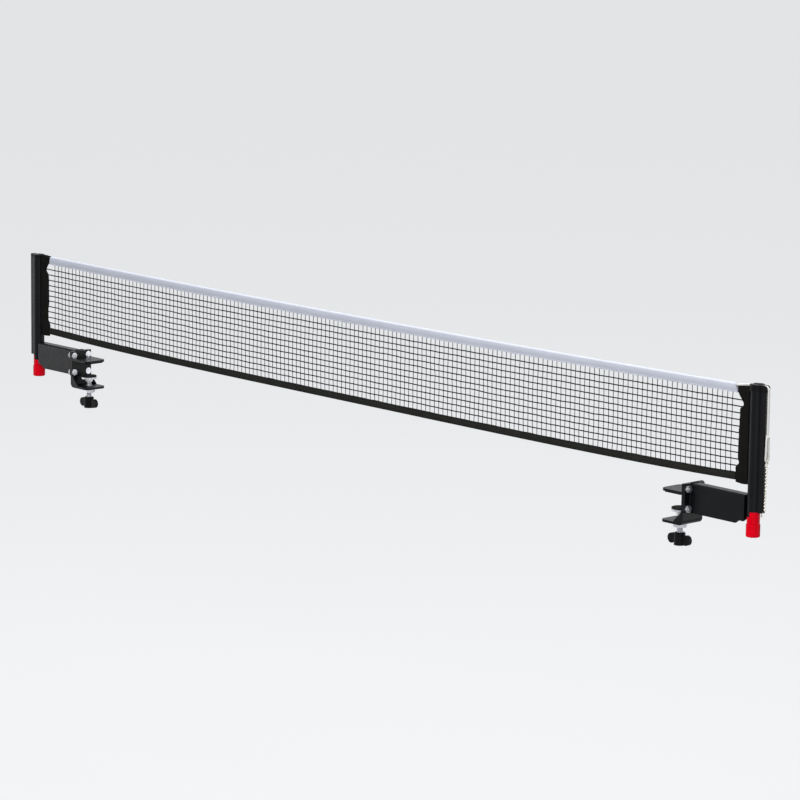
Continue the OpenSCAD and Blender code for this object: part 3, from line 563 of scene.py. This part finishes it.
def white_section():
    """The white tape's closed section, from the free edge's outer corner up one side, over the cord
    and down the other, and back along the lining. Half of it is drawn and the rest mirrored."""
    inner, outer = CORD_R + 0.25 * MM, CORD_R + 0.95 * MM
    side = np.array([
        (1.1, -15.0, 1.0), (1.45, -14.8, 1.0), (1.55, -14.2, 1.0), (1.5, -13.3, 1.0),
        (1.42, -12.7, 1.0), (1.65, -12.1, 1.0), (2.1, -10.5, 1.0), (2.6, -8.3, 0.7),
        (2.93, -5.6, 0.3),
    ]) * (MM, MM, 1)
    over = np.radians(np.linspace(0, 90, 9))
    skin = np.column_stack([outer * np.cos(over), outer * np.sin(over) - outer, 0 * over])
    under = np.radians(np.linspace(90, -20, 9))
    bore = np.column_stack([inner * np.cos(under), inner * np.sin(under) - outer, 0 * under])
    lining = np.array([
        (2.2, -5.6, 0.3), (1.87, -8.3, 0.7), (1.4, -10.5, 1.0), (0.8, -12.6, 1.0),
        (0.7, -15.0, 1.0),
    ]) * (MM, MM, 1)
    outside, inside = np.concatenate([side, skin]), np.concatenate([bore, lining])
    back = (-1, 1, 1)
    return np.concatenate([
        outside, (outside[::-1] * back)[1:], (inside[::-1] * back)[:-1], inside,
    ])


def dark_section():
    """The dark tape's closed section: up one side from the fold, and back down inside it, and then
    the same mirrored. The dip below its upper edge is the groove of its stitches."""
    high = FOOT_TAPE_H / MM
    outside = np.array([
        (0.7, 0.1, 0.0), (1.2, 0.45, 0.2), (1.5, 1.4, 0.5), (1.55, 5.0, 1.0), (1.5, 9.0, 1.0),
        (1.22, 9.4, 1.0), (1.5, 9.8, 1.0), (1.5, high - 0.7, 1.0), (1.45, high, 1.0),
    ]) * (MM, MM, 1)
    inside = np.array([(0.75, high, 1.0), (0.75, 5.0, 1.0), (0.7, 1.3, 0.3)]) * (MM, MM, 1)
    back = (-1, 1, 1)
    return np.concatenate([outside, inside, inside[::-1] * back, outside[::-1] * back])


def stitch_line(name, material, height_at, ripple, z, out):
    """Stitches along both faces of a tape, sunk in the grooves near its free edge. They lie z above
    height_at, and out from the net's plane."""
    x = np.arange(-TAPE_END + 5 * MM, TAPE_END - 5 * MM, STITCH_PITCH)
    half, sunk, thread_r = 1.55 * MM, 0.35 * MM, 0.2 * MM
    stitches = Piece()
    dy, dz = ripple(x)
    for face in (-1.0, 1.0):
        paths = stitch_paths(
            x, face * out + dy, height_at(x) + z + dz, half, (1, 0, 0), (0, face * sunk, 0))
        stitches.grid(sweep(paths, thread_r, 4, (0, 0, 1)))
    return stitches.make(name, material)


def tapes():
    """The white tape over the cord, and the dark tape along the foot: sheets folded in two, with
    their stitches."""
    sway, swell = smooth_noise(8, 70, 2.0), smooth_noise(9, 120, 2.0)

    def ripple(x):
        """The white tape's moves in y and z: smooth random lines, and gathers that grow towards its
        ends as exp((|x| - end) / 22 mm)."""
        gather = np.exp((np.abs(x) - TAPE_END) / (22 * MM))
        folds = 0.3 * np.sin(x / (1.15 * MM)) * gather
        return (0.14 * sway(x + 1.0) + folds) * MM, 0.12 * swell(x + 1.0) * MM

    def low_ripple(x):
        """The dark tape's moves in y and z: the same lines, a little further along."""
        return 0.16 * sway(x + 1.013) * MM, 0.15 * swell(x + 1.02) * MM

    top = folded_tape(
        "white_tape", "tape_white", white_section(), net_top, ripple,
        slant=3.6 * MM, node="top_tape")
    foot = folded_tape(
        "dark_tape", "foot_black", dark_section(), net_foot, low_ripple,
        slant=0.0, node="foot_tape")
    line = stitch_line(
        "tape_stitches", "thread_white", net_top, ripple, -12.7 * MM, 1.5 * MM)
    line = stitch_line(
        "foot_stitches", "thread_black", net_foot, low_ripple, 9.4 * MM, 1.38 * MM)


def hems():
    """The dark side hems: a doubled cloth, pulled in where the hooks hold it. The surface runs in v
    from foot to top and in u from the inner edge to the post, once in front and once behind."""
    levels, across = 110, 14
    # The seam's place, and half the cloth's thickness in mm: at the inner edge, and what it gains
    seam_u, thin, swell = 0.22, 1.3, 2.5
    v = np.linspace(0, 1, levels + 1)[:, None]
    s = np.arange(2 * across)[None, :] / across
    u, face = np.where(s <= 1, s, 2 - s), np.where(s < 1, -1.0, 1.0)
    for name, sign in SIDES:
        creep = smooth_noise(11 + int(sign), 26, 0.2)
        crease = smooth_noise(15 + int(sign), 40, 0.2)
        inner_edge = HEM_IN + (LEFT_INSET if sign < 0 else 0.0)
        x0 = inner_edge + (HEM_OUT - 0.4 * MM - inner_edge) * u
        # Below the cord. On the right the hem is clear of the cap's skirt, and on the left a sleeve
        # hides its top
        top = np.where(x0 > SKIRT_X - 0.6 * MM, SKIRT_Z - 0.4 * MM, (153.7 + 3.4 * u) * MM)
        if sign < 0:
            top = (151.0 + 1.2 * u) * MM
        low = HEM_FOOT - 1 * MM - 1.0 * MM * np.sin(np.pi * u)
        z = low + (top - low) * v
        x = x0 + (hem_edge(z, sign) + 0.35 * creep(z + 0.01) * MM) * (1 - u) ** 1.3
        half = thin + swell * np.sin(np.minimum(u * 1.25, 1.0) * np.pi / 2)
        # Folds that spread from each hook, and the seam's groove
        fold = 0.3 * crease(z * 0.8 + 0.009 * u + 0.01) * np.sin(np.pi * u)
        for h in HOOK_Z:
            dx, dz = (HEM_OUT - 6 * MM - x) / MM, (z - h) / MM
            away = np.hypot(dx, dz)
            rays = np.sin(9 * np.arctan2(dz, dx) + face)
            fold = fold + 0.55 * rays * np.exp(-away / 14) * np.minimum(away / 5, 1)
        seam = 0.4 * hump(u, seam_u, 0.04)
        end = np.minimum(1.0, np.minimum(5 * v + 0.45, 9 * (1 - v) + 0.5))
        fade = np.sin(np.pi * np.clip(u, 0.06, 1))
        y = face * np.maximum(half * end + fold * fade - seam, 0.5) * MM
        shape = Piece()
        shape.grid(np.stack([x, y, z], axis=-1))
        hem = shape.make(
            f"hem_{name}", "hem_black", replaces=[f"side_hem_{name}"],
            side=sign, sharp=60)
        # Stitches down the seam, but not over the hooks
        zs = np.arange(12.0, 146.0, 4.2) * MM
        zs = zs[np.min(np.abs(zs[:, None] - np.array(HOOK_Z)), axis=1) > 4 * MM]
        xs = np.interp(seam_u, u[0, :across], x0[0, :across]) + hem_edge(zs, sign) * 0.72
        stitches = Piece()
        for front in (-1.0, 1.0):
            ys = front * (thin + swell * math.sin(0.275 * math.pi / 2) + 0.05) * MM
            paths = stitch_paths(xs, ys, zs, 1.5 * MM, (0, 0, 1), (0, front * 0.4 * MM, 0))
            stitches.grid(sweep(paths, 0.22 * MM, 4, (1, 0, 0)))
        line = stitches.make(f"hem_stitches_{name}", "thread_black", side=sign)


def cord_sleeve():
    """The left hem's upper edge is rolled round the cord as far as the post: a tube round the
    cord's route. Its radius is 2.15 mm over the cap and grows to 3.1 mm on the way to the tape,
    with wrinkles along it and folds round it."""
    route = np.array([
        (-855.8, 152.0), (-858, 151.75), (-866, 151.9), (-876, 152.3), (-882, 152.7), (-886, 152.9),
        (-892, 152.8), (-898, 152.6),
    ]) * MM
    path = fine(cord_route(route), FINE_STEP)
    wrinkle = smooth_noise(31, 18, 0.05)
    near = np.clip((path[:, 0] + 884.6 * MM) / (2.5 * MM), 0, 1)
    radius = (2.15 + 0.95 * near + 0.22 * wrinkle(path[:, 0] + 0.9) * near) * MM

    def folds(angle, run):
        """Two folds, and five finer ones, that wind round the tube in opposite ways."""
        fine_folds = 0.025 * np.cos(5 * angle - run / (2 * MM))
        return 1 + 0.05 * np.cos(2 * angle + run / (7 * MM)) + fine_folds

    shape = Piece()
    shape.grid(sweep(path, radius, 20, relief=folds))
    shape.make("cord_sleeve", "hem_black")


# ---------------------------------------------------------------- cord and chain

def fine(path, step):
    """The same path with its corners cut twice by quarters, as even points about step apart."""
    path = np.asarray(path, float)
    for _ in range(2):
        a, b = path[:-1], path[1:]
        cut = np.stack([a * 0.75 + b * 0.25, a * 0.25 + b * 0.75], axis=1).reshape(-1, 3)
        path = np.concatenate([path[:1], cut, path[-1:]])
    run = np.concatenate([[0], np.cumsum(np.linalg.norm(np.diff(path, axis=0), axis=1))])
    at = np.linspace(0, run[-1], max(2, int(run[-1] / step)))
    return np.column_stack([np.interp(at, run, path[:, i]) for i in range(3)])


def braid(angle, run):
    """Crossing strands of a braided cord, as a share of its radius: 0.95 + 0.05 times the larger
    of cos(4 a + turn) and cos(4 a - turn), where turn gains 2 pi every 5.2 mm."""
    turn = run / (5.2 * MM) * 2 * np.pi
    return 0.95 + 0.05 * np.maximum(np.cos(4 * angle + turn), np.cos(4 * angle - turn))


def cord_route(points):
    """The points (x, z) as (x, 0, z), in the net's plane."""
    points = np.asarray(points, float)
    return np.column_stack([points[:, 0], 0 * points[:, 0], points[:, 1]])


def arc(cx, cz, r, degrees):
    """Points (x, z) of a circle: centre + r (cos a, sin a)."""
    a = np.radians(degrees)
    return np.column_stack([cx + r * np.cos(a), cz + r * np.sin(a)])


def cord():
    """The white tension cord: over both caps, through the tape, with its knots and its loop round
    the eye."""
    shape = Piece()
    x = np.linspace(-TAPE_END, TAPE_END, 61)
    inside = cord_route(np.column_stack([x, net_top(x) - CORD_R - 0.95 * MM]))
    left, right = CORD_Z["left"], CORD_Z["right"]
    cap_half = 11.3 * MM
    left_run = cord_route(np.concatenate([
        [(-AXIS_X, KNOT_Z["left"]), (-AXIS_X, left - LEFT_BEND_R)],
        arc(-AXIS_X + LEFT_BEND_R, left - LEFT_BEND_R, LEFT_BEND_R, [158, 135, 112, 90]),
        [(-AXIS_X + cap_half, left)],
    ]))
    bend_x, bend_z = CORD_X - SHOULDER_R, right - SHOULDER_R
    # The cord beds down a little where it crosses the cap
    bed = 0.7 * MM
    right_run = cord_route(np.concatenate([
        [(AXIS_X - cap_half, right), (AXIS_X - 7 * MM, right - bed)],
        [(AXIS_X + 10 * MM, right - bed), (bend_x, right)],
        arc(bend_x, bend_z, SHOULDER_R, [75, 60, 45, 30, 15]),
        [(CORD_X, bend_z), (CORD_X, 120 * MM), (CORD_X, KNOT_Z["right"] + 2 * MM)],
    ]))
    left_path = fine(np.concatenate([left_run, inside[:1]]), FINE_STEP)
    right_path = fine(np.concatenate([inside[-1:], right_run]), FINE_STEP)
    shape.grid(sweep(left_path, CORD_R, 16, relief=braid))
    shape.grid(sweep(inside, CORD_R, 12))
    shape.grid(sweep(right_path, CORD_R, 16, relief=braid))
    # The loop below the right knot: two strands side by side, and half a turn round the eye
    knot = KNOT_Z["right"]
    strand = np.array([(1.4, 0.0), (2.05, -5.0), (2.0, -14.0), (2.35, -24.0)]) * MM
    half_turn = np.radians(np.arange(0, -181, -22.5))
    loop_yz = np.concatenate([
        strand + (0, knot),
        np.column_stack([
            EYE_R * np.cos(half_turn), EYE_Z + EYE_R + EYE_R * np.sin(half_turn),
        ]),
        (strand * (-1, 1) + (0, knot))[::-1],
    ])
    loop = np.column_stack([np.full(len(loop_yz), CORD_X), loop_yz])
    shape.grid(sweep(fine(loop, FINE_STEP), CORD_R, 16, (1, 0, 0), braid))
    # Knots: a tightly drawn trefoil, (sin t + 2 sin 2t, -sin 3t, cos t - 2 cos 2t), each way scaled
    turns = np.arange(96) * 2 * np.pi / 96
    trefoil = np.column_stack([
        (np.sin(turns) + 2 * np.sin(2 * turns)) * 0.72, -np.sin(3 * turns) * 1.15,
        (np.cos(turns) - 2 * np.cos(2 * turns)) * 1.02,
    ]) * MM

    def lay(angle, run):
        """Three wound strands: 0.96 + 0.04 cos(3 a + turn), where turn gains 2 pi every 3 mm."""
        return 0.96 + 0.04 * np.cos(3 * angle + run / (3 * MM) * 2 * np.pi)

    for x, z in ((CORD_X, knot), (-AXIS_X, KNOT_Z["left"] + 0.5 * MM)):
        rings = sweep(trefoil + (x, 0, z), 1.55 * MM, 12, relief=lay, closed=True)
        shape.grid(rings, closed=True)
    shape.make("cord", "cord_white", replaces=["net_cord"])


# ---------------------------------------------------------------- steel details

def round_surface(x, radius, z):
    """Rings round a vertical axis at x: (x + r cos a, r sin a, z), with radius[ring, place] at
    height z[ring]. A radius for each ring alone makes it round, with 32 sides."""
    radius = np.asarray(radius, float)
    if radius.ndim == 1:
        radius = np.repeat(radius[:, None], 32, axis=1)
    a = np.arange(radius.shape[1]) * 2 * np.pi / radius.shape[1]
    z = np.broadcast_to(np.asarray(z, float)[:, None], radius.shape)
    return np.stack([x + radius * np.cos(a), radius * np.sin(a), z], axis=-1)


def thread_radius(z, core, crest, pitch):
    """A helical tooth: the radius peaks where z / pitch - angle / 2 pi is a half, falls off evenly
    within half_tooth of a turn, and fades over run_out turns at both ends."""
    sides, half_tooth, run_out = 24, 0.42, 0.8
    i = np.arange(sides)[None, :]
    along = (z - z[0])[:, None]
    phase = (along / pitch - i / sides) % 1.0
    tooth = np.maximum(0.0, 1.0 - np.abs(phase - 0.5) / half_tooth)
    fade = np.clip(np.minimum(along, (z[-1] - z)[:, None]) / (run_out * pitch), 0, 1)
    return core + (crest - core) * tooth * fade


def clamp_screws():
    """The clamping screw with its cut thread, its plain foot in the knob and its turned tip."""
    z = np.linspace(-98.5, -64.5, 137) * MM
    # Turned profiles, as (radius, height)
    foot = np.array([
        (0.01, -109.4), (4.6, -109.4), (4.95, -109.0), (4.95, -98.6), (4.3, -98.2), (4.3, -97.0),
    ]) * MM
    tip = np.array([
        (4.3, -65.0), (4.3, -63.4), (3.6, -62.7), (3.0, -62.6), (3.0, -58.4), (2.6, -58.0),
        (0.01, -58.0),
    ]) * MM
    for name, sign in SIDES:
        shape = Piece()
        shape.grid(round_surface(SCREW_X, thread_radius(z, 4.25 * MM, 4.95 * MM, 1.5 * MM), z))
        for r, height in (foot.T, tip.T):
            shape.grid(round_surface(SCREW_X, r, height))
        shape.make(
            f"clamp_screw_cut_{name}", "zinc_steel", f"clamp_spindle_{name}",
            replaces=[f"clamp_screw_{name}"], side=sign, sharp=35
        )


def weld_beads():
    """The rippled weld between the arm and its flange: up one side, over the top and down the
    other. It is a tube whose radius varies by 12% either way, as a sine wave 1.6 mm long."""
    x, half, corner = 773.2 * MM, 10.3 * MM, 3.0 * MM
    top, foot = -8.8 * MM, -54.6 * MM
    a = np.radians([30, 60, 90])
    bend = np.column_stack([half - corner * (1 - np.cos(a)), top - corner * (1 - np.sin(a))])
    yz = np.concatenate([
        [(-half, foot), (-half, top - corner)], bend * (-1, 1),
        bend[::-1], [(half, top - corner), (half, foot)],
    ])
    path = fine(np.column_stack([np.full(len(yz), x), yz]), 0.4 * MM)
    ripple = 1.0 + 0.12 * np.sin(np.arange(len(path)) * 0.4 / 1.6 * 2 * np.pi)
    for name, sign in SIDES:
        shape = Piece()
        shape.grid(sweep(path, 1.3 * MM * ripple, 8, (1, 0, 0)))
        shape.make(f"weld_{name}", "black_steel", f"clamp_frame_{name}", side=sign)


def finish_nodes():
    """Materials for the CAD nodes that stay in sight, and softened edges, in mm, by slot."""
    soft_edges = {
        "black_steel": 0.35, "black_plastic": 0.4, "red_plastic": 0.35, "zinc_steel": 0.2,
        "rubber": 0.3,
    }
    for part in frame["record"]["subparts"]:
        node, slot = part["node"], part["material_slot"]
        obj = frame["nodes"][node]
        for entry in obj.material_slots:
            entry.material = MATERIALS[slot]
        if not obj.material_slots:
            obj.data.materials.append(MATERIALS[slot])
        if slot in soft_edges and not obj.hide_render:
            bevel = obj.modifiers.new("edges", "BEVEL")
            bevel.width = soft_edges[slot] * MM
            bevel.segments = 2
            bevel.limit_method = "ANGLE"
            bevel.angle_limit = math.radians(40)


MATERIALS = make_materials()
camera()
stage()
netting()
tapes()
hems()
cord_sleeve()
cord()
clamp_screws()
weld_beads()
finish_nodes()
